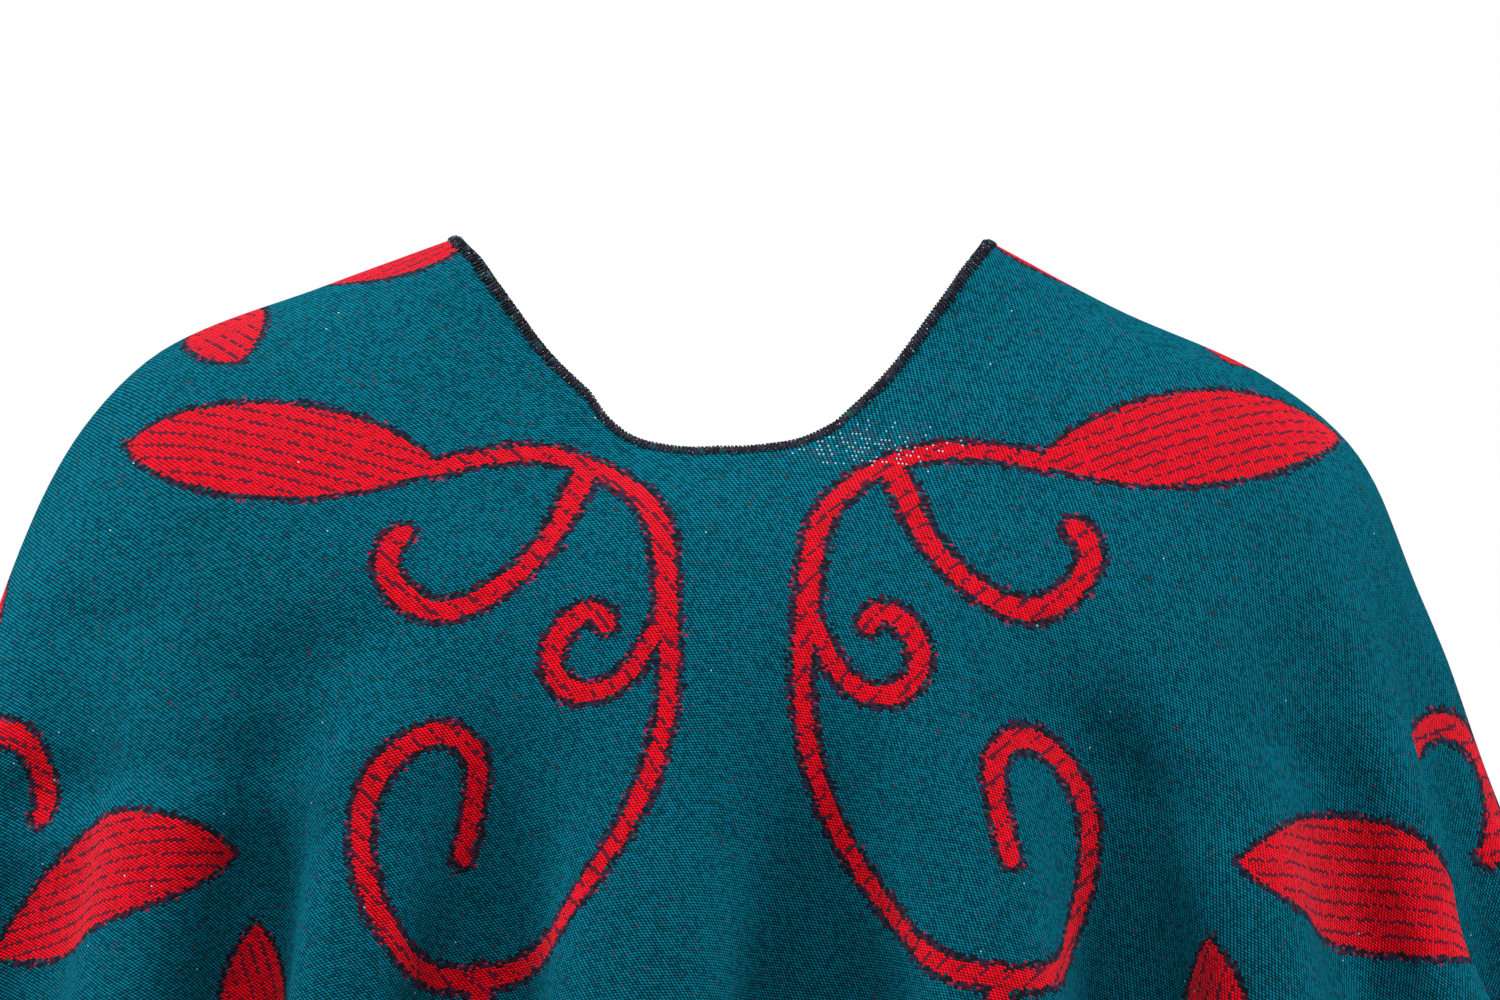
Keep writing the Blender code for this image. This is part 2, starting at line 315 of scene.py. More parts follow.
def lay_flat(points, flat, held, rounds=30):
    """points (n, 3) of a grid, their first flat guess (n, 2), and which of them are held where they are.
    Each round turns every triangle's own flat shape to fit the present one, by the angle
    atan2(a - b, c + d) of its stretch, and then solves for the points that fit all of them best."""
    rows, columns = points.shape[:2]
    spot, triangles = points.reshape(-1, 3), quarter_triangles(rows, columns)
    a, b, c = (spot[triangles[:, i]] for i in range(3))
    along = b - a
    length = np.linalg.norm(along, axis=1)
    across = np.cross(along, c - a)
    double_area = np.linalg.norm(across, axis=1)
    reach_along = np.sum(along * (c - a), axis=1) / length
    own = np.zeros((len(triangles), 3, 2))
    own[:, 1, 0] = length
    own[:, 2, 0] = reach_along
    own[:, 2, 1] = double_area / length
    # own gradient of each corner: the opposite edge turned by a right angle, over twice the area
    edge = own[:, [2, 0, 1]] - own[:, [1, 2, 0]]
    gradient = np.stack([-edge[..., 1], edge[..., 0]], axis=-1) / double_area[:, None, None]
    area = double_area / 2
    count = rows * columns
    system = np.zeros((count, count))
    pair = np.einsum("tid,tjd,t->tij", gradient, gradient, area)
    for i in range(3):
        for j in range(3):
            np.add.at(system, (triangles[:, i], triangles[:, j]), pair[:, i, j])
    free = np.flatnonzero(~held)
    fixed = np.flatnonzero(held)
    solve = np.linalg.inv(system[np.ix_(free, free)])
    pull = system[np.ix_(free, fixed)]
    flat = flat.copy()
    for _ in range(rounds):
        stretch = np.einsum("tic,tid->tcd", flat[triangles], gradient)
        angle = np.arctan2(stretch[:, 1, 0] - stretch[:, 0, 1], stretch[:, 0, 0] + stretch[:, 1, 1])
        turn = np.stack([np.cos(angle), -np.sin(angle), np.sin(angle), np.cos(angle)], axis=1)
        wanted = np.einsum("tcd,tid,t->tic", turn.reshape(-1, 2, 2), gradient, area)
        push = np.zeros((count, 2))
        for i in range(3):
            np.add.at(push, triangles[:, i], wanted[:, i])
        flat[free] = solve @ (push[free] - pull @ flat[fixed])
    return flat


# %% [markdown]
# The middle line of the back is held straight, and so is the front's, so the left and the right quarter
# meet there. The front quarters also take over the side line that the back ones found, so a leaf that
# crosses the shoulder is not cut.

# %% The four quarters
def first_guess(points, middle_side, neck_drop):
    """Polar start: the length down each column at an angle that opens evenly from the middle line."""
    rows, columns = points.shape[:2]
    steps = np.linalg.norm(np.diff(points, axis=0), axis=-1)
    length = np.vstack([np.zeros(columns), np.cumsum(steps, axis=0)])
    share = np.linspace(0.0, 1.0, columns)
    angle = np.radians(FIRST_OPENING) * share
    start_u = middle_side * FLAT_NECK_HALF * np.sin(share * math.pi / 2)
    start_v = -neck_drop * np.cos(share * math.pi / 2)
    u = start_u + middle_side * np.sin(angle) * length
    v = start_v - np.cos(angle) * length
    return np.stack([u, v], axis=-1).reshape(-1, 2)


chart_reach = np.linspace(0.0, 1.0, CHART_ROWS)
chart = np.zeros((CHART_ROWS, FOLD_COUNT * CHART_STEPS_PER_FOLD, 2))
Quarter = namedtuple("Quarter", "name middle side direction neck_drop")
QUARTERS = (
    Quarter("back right", 270, 360, 1, FLAT_BACK_NECK),
    Quarter("back left", 270, 180, -1, FLAT_BACK_NECK),
    Quarter("front right", 90, 0, 1, FLAT_FRONT_NECK),
    Quarter("front left", 90, 180, -1, FLAT_FRONT_NECK),
)
steps_round = FOLD_COUNT * CHART_STEPS_PER_FOLD
for quarter in QUARTERS:
    middle = round(column_at(quarter.middle) * CHART_STEPS_PER_FOLD)
    side = round(column_at(quarter.side) * CHART_STEPS_PER_FOLD)
    way = 1 if quarter.side > quarter.middle else -1
    side = middle + way * ((way * (side - middle)) % steps_round)
    places = np.arange(middle, side + way, way)
    points = cloth_point(places[None, :] / CHART_STEPS_PER_FOLD, chart_reach[:, None])
    flat = first_guess(points, quarter.direction, quarter.neck_drop).reshape(CHART_ROWS, -1, 2)
    down = np.linalg.norm(np.diff(points[:, 0], axis=0), axis=-1)
    flat[:, 0, 0] = 0.0
    flat[:, 0, 1] = -quarter.neck_drop - np.concatenate(([0.0], np.cumsum(down)))
    held = np.zeros(flat.shape[:2], bool)
    held[:, 0] = True
    if quarter.name.startswith("front"):
        flat[:, -1] = chart[:, places[-1] % steps_round]
        held[:, -1] = True
    # A triangle's own shape runs anticlockwise, so a right-hand quarter is laid out mirrored and turned back
    mirror = np.array([-quarter.direction, 1.0])
    flat = lay_flat(points, (flat * mirror).reshape(-1, 2), held.ravel()).reshape(flat.shape) * mirror
    chart[:, places % steps_round] = flat
    print(quarter.name, "laid flat, hem corner at", np.round(flat[-1, -1], 3))


def flat_place(column, reach):
    """The place in the flat cloth of each column and reach, read between the chart's points."""
    steps = np.asarray(column, float) * CHART_STEPS_PER_FOLD
    rows = np.clip(np.asarray(reach, float), 0.0, 1.0) * (CHART_ROWS - 1)
    steps, rows = np.broadcast_arrays(steps, rows)
    left, top = np.floor(steps).astype(int), np.clip(np.floor(rows).astype(int), 0, CHART_ROWS - 2)
    across, down = (steps - left)[..., None], (rows - top)[..., None]
    left, right = left % chart.shape[1], (left + 1) % chart.shape[1]
    upper = chart[top, left] * (1 - across) + chart[top, right] * across
    lower = chart[top + 1, left] * (1 - across) + chart[top + 1, right] * across
    return upper * (1 - down) + lower * down


# %% [markdown]
# ## A mesh from rings of points
# Every piece here is a surface that closes on itself twice: along its rings and round them. One function
# turns such an array of points into a mesh, so no piece is left with an open edge.

# %% Closed surfaces
def mesh_piece(name, points, faces, materials):
    """A new smooth object at the origin."""
    mesh = bpy.data.meshes.new(name)
    mesh.from_pydata(points, [], faces)
    for material in materials:
        mesh.materials.append(material)
    mesh.shade_smooth()
    piece = bpy.data.objects.new(name, mesh)
    bpy.context.scene.collection.objects.link(piece)
    return piece


def closed_surface(name, points, materials, flat=None, ring_material=None):
    """points (rings, around, 3). Each ring joins the next and the last the first, and so do the points
    round it. Each face runs here, next ring, next ring's neighbour, neighbour, which points outwards where
    the rings go down the outside of a garment while their points run anticlockwise seen from above."""
    rings, around = points.shape[:2]
    ring, place = np.meshgrid(np.arange(rings), np.arange(around), indexing="ij")
    below, beside = (ring + 1) % rings, (place + 1) % around
    corners = ((ring, place), (below, place), (below, beside), (ring, beside))
    faces = np.stack([row * around + spot for row, spot in corners], axis=-1).reshape(-1, 4)
    piece = mesh_piece(name, points.reshape(-1, 3), faces, materials)
    if ring_material is not None:
        slots = np.repeat(ring_material, around).astype(np.int32)
        piece.data.polygons.foreach_set("material_index", slots)
    if flat is not None:
        layer = piece.data.uv_layers.new(name="flat cloth")
        layer.uv.foreach_set("vector", flat.reshape(-1, 2)[faces.ravel()].astype(np.float32).ravel())
    piece.data.update()
    print(name, "has", 2 * len(faces), "triangles")
    return piece


def surface_frame(column, reach):
    """The unit vectors round the garment, down it and out of it at each point, from small steps."""
    small = 1e-3
    before, after = cloth_point(column - small, reach), cloth_point(column + small, reach)
    above, below = np.maximum(reach - small, 0.0), np.minimum(reach + small, 1.0)
    sideways, down = after - before, cloth_point(column, below) - cloth_point(column, above)
    outward = np.cross(down, sideways)
    return [vector / np.linalg.norm(vector, axis=-1, keepdims=True) for vector in (sideways, down, outward)]


# %% [markdown]
# ## The cloth and its creases
# The solids carry the large folds. A hand would also find shallow creases: pulls from the shoulders, a
# bend where the cloth lay folded in a drawer, small hollows beside the neck. Each row of the table is
# one of them: the bearing and the length of cloth below the neck where its middle lies,
# how it leans from straight down, and its size. Rows with a positive depth stand up as ridges.

# %% Table of creases
Crease = namedtuple("Crease", "bearing below lean length width depth bow")
CREASES = (
    Crease(219, 225, -60, 110, 12, -4.2, 9),
    Crease(215, 252, -52, 90, 11, 3.0, 7),
    Crease(212, 190, -70, 70, 9, -2.4, 4),
    Crease(233, 135, -40, 150, 15, -3.4, 12),
    Crease(238, 170, -46, 130, 13, 2.4, 9),
    Crease(243, 96, -30, 80, 12, 1.8, -6),
    Crease(254, 190, -12, 150, 15, -3.0, 5),
    Crease(268, 120, 4, 110, 18, -1.8, -4),
    Crease(283, 205, 9, 160, 14, -2.6, 6),
    Crease(297, 110, 26, 90, 13, 2.2, -8),
    Crease(305, 165, 34, 140, 14, -3.2, -11),
    Crease(322, 215, 50, 100, 12, -1.6, -7),
    Crease(329, 260, 22, 140, 14, 1.9, 8),
    Crease(336, 320, 12, 190, 16, -2.4, -9),
    Crease(349, 190, -14, 90, 12, -1.5, 5),
    Crease(4, 240, 16, 150, 17, -2.1, 8),
    Crease(24, 150, -34, 110, 14, -1.7, -9),
    Crease(38, 230, -22, 120, 13, 1.6, 6),
    Crease(52, 120, -28, 90, 12, -1.5, -5),
    Crease(66, 210, -9, 170, 17, -2.0, 8),
    Crease(84, 130, -4, 100, 14, 1.3, 3),
    Crease(98, 190, 6, 150, 16, -1.8, -6),
    Crease(112, 110, 22, 90, 12, 1.4, 7),
    Crease(127, 180, 32, 130, 15, -1.9, 9),
    Crease(142, 240, 44, 100, 13, -1.6, -6),
    Crease(156, 170, 28, 90, 12, 1.5, 5),
    Crease(174, 230, -12, 140, 16, -2.0, -8),
    Crease(192, 180, 18, 110, 13, -1.6, 7),
    Crease(203, 280, -20, 160, 15, 1.9, -8),
)
CLOTH_COLUMNS_PER_FOLD = 16
CLOTH_ROWS = 105
HIDDEN_EDGE = 0.0010
CREASE_REACH_OUT = 50


def crease_heights(points):
    """How far the creases move each point out. A crease's own frame lies in the cloth at its middle:
    depth * exp(-(across / width)^2) * (1 - (2 along / length)^2)^1.5, where across is measured from a
    parabola of the given bow. The last factor fades it out where the cloth is far from that frame."""
    height = np.zeros(points.shape[:-1])
    for crease in CREASES:
        column = np.array([column_at(crease.bearing)])
        reach = reach_at_length(column, crease.below / 1000)
        middle = cloth_point(column, reach)[0]
        sideways, down, outward = [vector[0] for vector in surface_frame(column, reach)]
        lean = math.radians(crease.lean)
        away = (points - middle) * 1000
        along = away @ (math.cos(lean) * down + math.sin(lean) * sideways)
        across = away @ (math.cos(lean) * sideways - math.sin(lean) * down)
        ends = np.clip(1 - (2 * along / crease.length) ** 2, 0.0, None)
        across = across - crease.bow * ends
        near = np.exp(-(((away @ outward) / CREASE_REACH_OUT) ** 4))
        height += crease.depth * np.exp(-((across / crease.width) ** 2)) * ends**1.5 * near
    return height / 1000


print(len(CREASES), "creases, the deepest", min(crease.depth for crease in CREASES), "mm")

# %% [markdown]
# The shell has an outer and an inner face, 2.4 mm apart, because both sides of this cloth are on show:
# the reverse has the colours exchanged. Its two edges end inside the stitched bands.

# %% The cloth shell
cloth_columns = np.arange(FOLD_COUNT * CLOTH_COLUMNS_PER_FOLD) / CLOTH_COLUMNS_PER_FOLD
first_reach = reach_at_length(cloth_columns, HIDDEN_EDGE)
last_reach = reach_at_length(cloth_columns, HIDDEN_EDGE, from_hem=True)
row_share = np.linspace(0.0, 1.0, CLOTH_ROWS)[:, None]
cloth_reach = first_reach + (last_reach - first_reach) * row_share
cloth_column_grid = np.broadcast_to(cloth_columns, cloth_reach.shape)
cloth_middle = cloth_point(cloth_column_grid, cloth_reach)
cloth_outward = surface_frame(cloth_column_grid, cloth_reach)[2]
cloth_middle = cloth_middle + cloth_outward * crease_heights(cloth_middle)[..., None]
cloth_flat = flat_place(cloth_column_grid, cloth_reach)
half = cloth_outward * CLOTH_THICKNESS / 2
shell_points = np.concatenate([cloth_middle + half, (cloth_middle - half)[::-1]])
shell_flat = np.concatenate([cloth_flat, cloth_flat[::-1]])
shell_face = np.repeat([0, 1], CLOTH_ROWS)
print("cloth", np.round(np.ptp(cloth_middle.reshape(-1, 3), axis=0), 3), "m across, deep and high")

# %% [markdown]
# ## Writing shader maths as formulas
# The pattern is drawn by distances, and that takes some hundreds of Math nodes. Wiring them by hand
# would hide the idea, so a small class wraps a socket and lets Python's own operators add the nodes:
# `1 - mask` or `rho - radius` reads like the formula on paper.

# %% A socket that can be calculated with
class Amount:
    """A shader value. Each operator adds one Math node and wraps its result."""

    def __init__(self, finish, socket):
        self.finish, self.socket = finish, socket

    def maths(self, operation, *others):
        values = dict(enumerate((self, *others)))
        return self.finish.amount("ShaderNodeMath", {"operation": operation}, values)

    __add__ = __radd__ = functools.partialmethod(maths, "ADD")
    __sub__ = functools.partialmethod(maths, "SUBTRACT")
    __mul__ = __rmul__ = functools.partialmethod(maths, "MULTIPLY")
    __truediv__ = functools.partialmethod(maths, "DIVIDE")
    __pow__ = functools.partialmethod(maths, "POWER")
    __lt__ = functools.partialmethod(maths, "LESS_THAN")
    __gt__ = functools.partialmethod(maths, "GREATER_THAN")
    __abs__ = functools.partialmethod(maths, "ABSOLUTE")
    floor = functools.partialmethod(maths, "FLOOR")
    fraction = functools.partialmethod(maths, "FRACT")
    least = functools.partialmethod(maths, "MINIMUM")
    most = functools.partialmethod(maths, "MAXIMUM")

    def __rsub__(self, other):
        return self * -1 + other

    def eased(self, low, high):
        """0 below low and 1 above high, with a soft step between them."""
        settings = {"interpolation_type": "SMOOTHSTEP"}
        return self.finish.amount("ShaderNodeMapRange", settings, {"Value": self, 1: low, 2: high})


MIX_FACTOR, MIX_A, MIX_B, MIX_RESULT = 0, 6, 7, 2


class Finish:
    """One material. node() adds any node, and the other methods are short forms of it."""

    def __init__(self, name):
        self.material = bpy.data.materials.new(name)
        self.material.use_nodes = True
        self.tree = self.material.node_tree
        self.tree.nodes.clear()
        self.shader = self.node("ShaderNodeBsdfPrincipled")
        self.node("ShaderNodeOutputMaterial", inputs={"Surface": self.shader.outputs["BSDF"]})

    def node(self, kind, settings=None, inputs=None):
        """A node of a kind, its settings first and then each socket's value or link."""
        made = self.tree.nodes.new(kind)
        for setting, value in (settings or {}).items():
            setattr(made, setting, value)
        self.feed(made, inputs or {})
        return made

    def feed(self, node, inputs):
        for key, value in inputs.items():
            socket = value.socket if isinstance(value, Amount) else value
            if isinstance(socket, bpy.types.NodeSocket):
                self.tree.links.new(socket, node.inputs[key])
            else:
                node.inputs[key].default_value = socket

    def amount(self, kind, settings=None, inputs=None, output=0):
        return Amount(self, self.node(kind, settings, inputs).outputs[output])

    def point(self, x, y, z=0.0):
        return self.node("ShaderNodeCombineXYZ", inputs={"X": x, "Y": y, "Z": z}).outputs[0]

    def dot(self, first, second):
        return self.amount("ShaderNodeVectorMath", {"operation": "DOT_PRODUCT"}, {0: first, 1: second}, 1)

    def distance(self, first, second):
        return self.amount("ShaderNodeVectorMath", {"operation": "DISTANCE"}, {0: first, 1: second}, 1)

    def mixed(self, share, first, second, blend="MIX"):
        settings = {"data_type": "RGBA", "blend_type": blend}
        inputs = {MIX_FACTOR: share, MIX_A: first, MIX_B: second}
        return self.node("ShaderNodeMix", settings, inputs).outputs[MIX_RESULT]

    def random(self, x, y, seed=0.0):
        """A value from 0 to 1 that is the same wherever x, y and seed are."""
        place = self.point(x, y, seed)
        return self.amount("ShaderNodeTexWhiteNoise", {"noise_dimensions": "3D"}, {"Vector": place})


# %% [markdown]
# ## The leaves and scrolls
# A weaver plans such a pattern on squared paper. Here a stem is a chain of round arcs that pass through
# a few points without a corner, and a leaf is two curves between its tip and its base. The points were
# read off the photograph and then laid on the flat cloth, in millimetres. `m` runs from the
# pattern's axis, so one table serves both sides, and `v` runs up from the line where the neck points
# lie.

# %% Table of stems and leaves
Stem = namedtuple("Stem", "name heading points")
# Each point is (m, v, half width)
STEMS = (
    Stem("scroll", 176, (
        (92.5, -74, 3.2), (63, -75.5, 2.8), (38.5, -88.5, 3.2), (24.7, -121, 3.5), (24, -165, 3.3),
        (39, -217.5, 2.8), (79, -256.5, 2.9), (115, -263.5, 3.5), (147, -234, 3.4), (145, -200, 3.2),
        (115, -176, 3.8), (99, -195.5, 3.5), (109.5, -221, 3.1),
    )),
    Stem("hook", 300, (
        (45.5, -86, 3.5), (57, -106, 3.1), (77, -126.5, 3.2), (93, -132.5, 3.6), (109, -127, 3.8),
        (116, -113, 3.8), (108.5, -98, 3.5),
    )),
    Stem("curl", 300, (
        (24, -146, 2.8), (35.5, -164.5, 2.5), (55.5, -173, 3.3), (65.5, -157.5, 3.4), (54, -144, 3.4),
        (46, -149, 3.1),
    )),
    Stem("side hook", 110, (
        (312, -102, 4.0), (291, -80, 3.9), (268, -84, 3.9), (262, -100, 3.9), (272, -119, 3.7),
    )),
    Stem("tendril", 290, ((111.5, -262.5, 3.2), (113, -281, 2.9), (102, -300, 2.7))),
)
# line_turn says how far the fine dark lines inside a leaf turn away from its midrib, in degrees
Leaf = namedtuple("Leaf", "name tip base half_width bow point line_turn")
LEAVES = (
    Leaf("shoulder blade", (187, -14.5), (91, -74), 19.3, 3.0, 1.15, -8),
    Leaf("lower", (202.5, -187), (315, -150), 20.0, 6.0, 1.1, -8),
    Leaf("upright", (205, -214), (237, -279), 14.5, 0.0, 1.2, 20),
    Leaf("neck point", (109, 35), (40, 34), 19.0, 0.0, 1.0, 8),
    Leaf("ridge", (144, -1), (150, 52), 14.0, 0.0, 0.9, 20),
    Leaf("side", (257, -8), (303, -76), 20.0, 0.0, 1.0, -10),
)
LINE_SPACING, LINE_SHARE, LINE_MARGIN = 4.8, 0.21, -1.2
STEM_LINE_SPACING, STEM_LINE_DIRECTION = 6.4, (0.82, -0.57, 0.0)
PATTERN_AXIS = 8.0
REPEAT_HALF = 320.0
REPEAT_TOP, REPEAT_HEIGHT = 55.0, 350.0
SKEW, SKEW_START, SKEW_FULL = 0.06, -200.0, -30.0
FAR = 1000.0

Arc = namedtuple("Arc", "centre radius middle half_sweep half_width")


def stem_arcs(stem):
    """Arcs through the stem's points. Each leaves its first point in the direction where the last arc
    arrived: with a the angle from that heading to the chord, its radius is chord / (2 sin a), it turns
    by 2 a, and its centre lies that radius to the left."""
    arcs, heading = [], math.radians(stem.heading)
    for first, last in zip(stem.points, stem.points[1:]):
        start, chord = np.array(first[:2], float), np.array(last[:2], float) - first[:2]
        chord_angle = math.atan2(chord[1], chord[0])
        turn = (chord_angle - heading + math.pi) % (2 * math.pi) - math.pi
        radius = math.hypot(*chord) / (2 * math.sin(turn))
        centre = start + radius * np.array([-math.sin(heading), math.cos(heading)])
        middle = chord_angle - math.copysign(math.pi / 2, radius)
        direction = np.array([math.cos(middle), math.sin(middle)])
        arcs.append(Arc(centre, abs(radius), direction, abs(turn), (first[2] + last[2]) / 2))
        heading += 2 * turn
    return arcs


print(sum(len(stem_arcs(stem)) for stem in STEMS), "arcs and", len(LEAVES), "leaves in a half repeat")

# %% [markdown]
# The shader asks, for each point of the cloth, how far it is from the nearest red edge: negative means
# inside. Stems and leaves then join by taking the least value, which no painted picture could do as
# sharply at every size.

# %% Distance to the pattern
def stem_distance(finish, place, stem):
    """The least of |distance to an arc's centre - its radius|, where the point lies within the arc's
    sweep, and of the distance to both ends, each less the half width there."""
    ends = [finish.distance(place, (*end[:2], 0.0)) - end[2] for end in (stem.points[0], stem.points[-1])]
    nearest = ends[0].least(ends[1])
    for arc in stem_arcs(stem):
        from_centre = finish.distance(place, (*arc.centre, 0.0))
        ahead = finish.dot(place, (*arc.middle, 0.0)) - float(arc.centre @ arc.middle)
        outside = ahead < from_centre * math.cos(arc.half_sweep)
        nearest = nearest.least(abs(from_centre - arc.radius) + outside * FAR - arc.half_width)
    return nearest


def leaf_distance(finish, place, leaf):
    """|distance from the bowed midrib| less a half width that swells as (4 t (1 - t))^p, where t runs
    from 0 at the tip to 1 at the base. Also 1 on the fine lines inside the leaf, and 0 elsewhere."""
    tip, base = np.array(leaf.tip, float), np.array(leaf.base, float)
    length = math.hypot(*(base - tip))
    along = (base - tip) / length
    across = np.array([-along[1], along[0]])
    share = finish.dot(place, (*(along / length), 0.0)) - float(tip @ along) / length
    sideways = finish.dot(place, (*across, 0.0)) - float(tip @ across)
    swell = (share * (1 - share) * 4).most(0.0)
    width = swell ** (0.5 * leaf.point + 0.25) * leaf.half_width
    beyond = (abs(share - 0.5) - 0.5) * length
    distance = (abs(sideways - swell * leaf.bow) - width).most(beyond)
    turned = sideways + share * (length * math.tan(math.radians(leaf.line_turn)))
    on_line = ((turned / LINE_SPACING).fraction() < LINE_SHARE) * (distance < LINE_MARGIN)
    return distance, on_line


def pattern(finish, from_axis, v):
    """Millimetres from the nearest red edge, and 1 on the fine dark lines. The pattern is mirrored about
    its axis and at each half repeat, and leans a little, as the worn cloth does."""
    lean = ((v - SKEW_START) / (SKEW_FULL - SKEW_START)).most(0.0).least(1.0) * SKEW
    upright = v - from_axis * lean
    share = (abs(from_axis) / (2 * REPEAT_HALF)).fraction()
    m = REPEAT_HALF - abs(share * (2 * REPEAT_HALF) - REPEAT_HALF)
    height = REPEAT_TOP - ((REPEAT_TOP - upright) / REPEAT_HEIGHT).fraction() * REPEAT_HEIGHT
    place = finish.point(m, height)
    to_stem = functools.reduce(Amount.least, [stem_distance(finish, place, stem) for stem in STEMS])
    leaves, lines = zip(*[leaf_distance(finish, place, leaf) for leaf in LEAVES])
    to_leaf = functools.reduce(Amount.least, leaves)
    across = finish.dot(place, STEM_LINE_DIRECTION) / STEM_LINE_SPACING
    stem_line = (across.fraction() < LINE_SHARE) * (to_stem < -0.5) * (to_leaf > 0.0)
    return to_stem.least(to_leaf), functools.reduce(Amount.most, lines), stem_line


# %% [markdown]
# ## The weave
# Close up, the cloth is rows of short slanted floats, 1.3 mm apart in rows of 0.95 mm. The loom
# can only change colour from one float to the next, so the pattern is read at the middle of each float.
# That gives the edges their small steps, and a random number for each float gives the mottled outline,
# where dark, navy, pink and green threads come up together. Each float is also painted darker at its
# edges, as the shade in the gaps between floats, and lighter on its crown.

# %% The woven finish
FLOAT_PITCH, ROW_PITCH, ROW_SHIFT = 1.30, 0.95, 0.40
FLOAT_FALL, ROW_FALL = 3.4, 2.6
OUTLINE_WIDTH = 2.6
# Each colour has a shaded and a lit copy: the shaded one is painted shade in the gaps between floats, and
# the lit one is the thread on a float's crown
TEAL_SHADED, TEAL_LIT = (0.0001, 0.0085, 0.0140, 1), (0.0008, 0.1150, 0.1700, 1)
RED_SHADED, RED_LIT = (0.1300, 0.0008, 0.0030, 1), (0.7700, 0.0020, 0.0120, 1)
THREAD_BLACK, THREAD_NAVY = (0.0070, 0.0060, 0.0100, 1), (0.0160, 0.0140, 0.0330, 1)
THREAD_PINK, THREAD_GREEN = (0.2300, 0.0120, 0.0350, 1), (0.0050, 0.0480, 0.0520, 1)
MAROON, LINT = (0.0450, 0.0060, 0.0150, 1), (0.2500, 0.4200, 0.4800, 1)
OUTLINE_THREADS = ((0.40, THREAD_NAVY), (0.68, MAROON), (0.90, THREAD_PINK), (0.95, THREAD_GREEN))
LOOSE_U, LOOSE_V, LOOSE_REACH, LOOSE_FLATNESS = 44.0, -74.0, 36.0, 3


def woven_finish(name, ground, motif, speck):
    """ground and motif are (shaded, lit) pairs of colours: the shaded one is painted shade for the gaps
    between floats, and the lit one is the thread on their crowns. speck is the colour of the few stray
    floats in the ground. The flat place comes from the cloth's own UV map, in metres."""
    finish = Finish(name)
    flat = finish.node("ShaderNodeUVMap", {"uv_map": "flat cloth"}).outputs["UV"]
    metres = finish.node("ShaderNodeSeparateXYZ", inputs={"Vector": flat})
    u, v = [Amount(finish, metres.outputs[axis]) * 1000 for axis in ("X", "Y")]

    row = (v / ROW_PITCH).floor()
    along_row = (u - PATTERN_AXIS) / FLOAT_PITCH + row * ROW_SHIFT
    number = along_row.floor()
    in_float, in_row = along_row - number - 0.5, v / ROW_PITCH - row - 0.5
    slant = in_float + in_row * ROW_SHIFT
    roundness = 1 - (slant * slant * FLOAT_FALL + in_row * in_row * ROW_FALL)
    chance = finish.random(number, row)
    second_chance = finish.random(number, row, 7.0)
    third_chance = finish.random(number, row, 19.0)

    middle = (number + 0.5 - row * ROW_SHIFT) * FLOAT_PITCH
    height = (row + 0.5) * ROW_PITCH
    distance, leaf_line, stem_line = pattern(finish, middle, height)
    in_motif = (distance + (chance - 0.5) * 1.0) < 0.0
    in_outline = (distance + (second_chance - 0.5) * 1.7) < OUTLINE_WIDTH
    line = (leaf_line * (third_chance > 0.20)).most(stem_line * (third_chance > 0.30))

    # Behind the neck the cloth is pulled open, so stray threads and small pale gaps show more there
    loose_middle = (LOOSE_U, LOOSE_V * LOOSE_FLATNESS, 0.0)
    from_middle = finish.distance(finish.point(u, v * LOOSE_FLATNESS), loose_middle)
    loose = (1 - from_middle / LOOSE_REACH).most(0.0)
    stray = (second_chance + loose * 0.25) > 0.985
    pulled = loose * ((row / 2).fraction() < 0.25)
    pale = ((third_chance + pulled * 0.6) > 0.9997) * (abs(in_float) < 0.20) * (abs(in_row) < 0.35)

    # Painted shade: each float goes from the shaded colour at its edges, as the shade between floats, to the
    # lit one on its crown. A random number for each float also varies its tone
    tone_and_painted_shade = roundness * (chance * 0.7 + 0.65)
    ground_colour = finish.mixed(tone_and_painted_shade.eased(0.15, 1.0), *ground)
    ground_colour = finish.mixed(stray * 0.5, ground_colour, speck)
    motif_colour = finish.mixed(tone_and_painted_shade.eased(0.1, 1.0), *motif)
    motif_colour = finish.mixed(line * 0.92, motif_colour, MAROON)
    outline_colour = THREAD_BLACK
    for limit, thread in OUTLINE_THREADS:
        outline_colour = finish.mixed(third_chance > limit, outline_colour, thread)
    colour = finish.mixed(in_outline, ground_colour, outline_colour)
    colour = finish.mixed(in_motif, colour, motif_colour)
    colour = finish.mixed(pale * 0.8, colour, LINT)

    cloth_place = finish.node("ShaderNodeTexCoord").outputs["Object"]
    wash = finish.amount("ShaderNodeTexNoise", None, {"Vector": cloth_place, "Scale": 9.0, "Detail": 3.0})
    shade = wash * 0.4 + 0.8
    colour = finish.mixed(1.0, colour, finish.point(shade, shade, shade), "MULTIPLY")
    relief = finish.node("ShaderNodeBump", None, {"Height": roundness, "Strength": 0.6, "Distance": 0.0005})
    finish.feed(finish.shader, {
        "Base Color": colour,
        "Normal": relief.outputs[0],
        "Roughness": 0.90,
        "Specular IOR Level": 0.02,
        "Sheen Weight": 0.10,
        "Sheen Roughness": 0.50,
        "Sheen Tint": (0.02, 0.45, 0.60, 1),
    })
    return finish.material


woven_face = woven_finish("woven_face", (TEAL_SHADED, TEAL_LIT), (RED_SHADED, RED_LIT), MAROON)
woven_reverse = woven_finish("woven_reverse", (RED_SHADED, RED_LIT), (TEAL_SHADED, TEAL_LIT), THREAD_NAVY)
print("the woven finish has", len(woven_face.node_tree.nodes), "nodes")

# %% Make the cloth
cloth = closed_surface("poncho_cloth", shell_points, [woven_face, woven_reverse], shell_flat, shell_face)
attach(cloth, "root")
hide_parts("cloth")

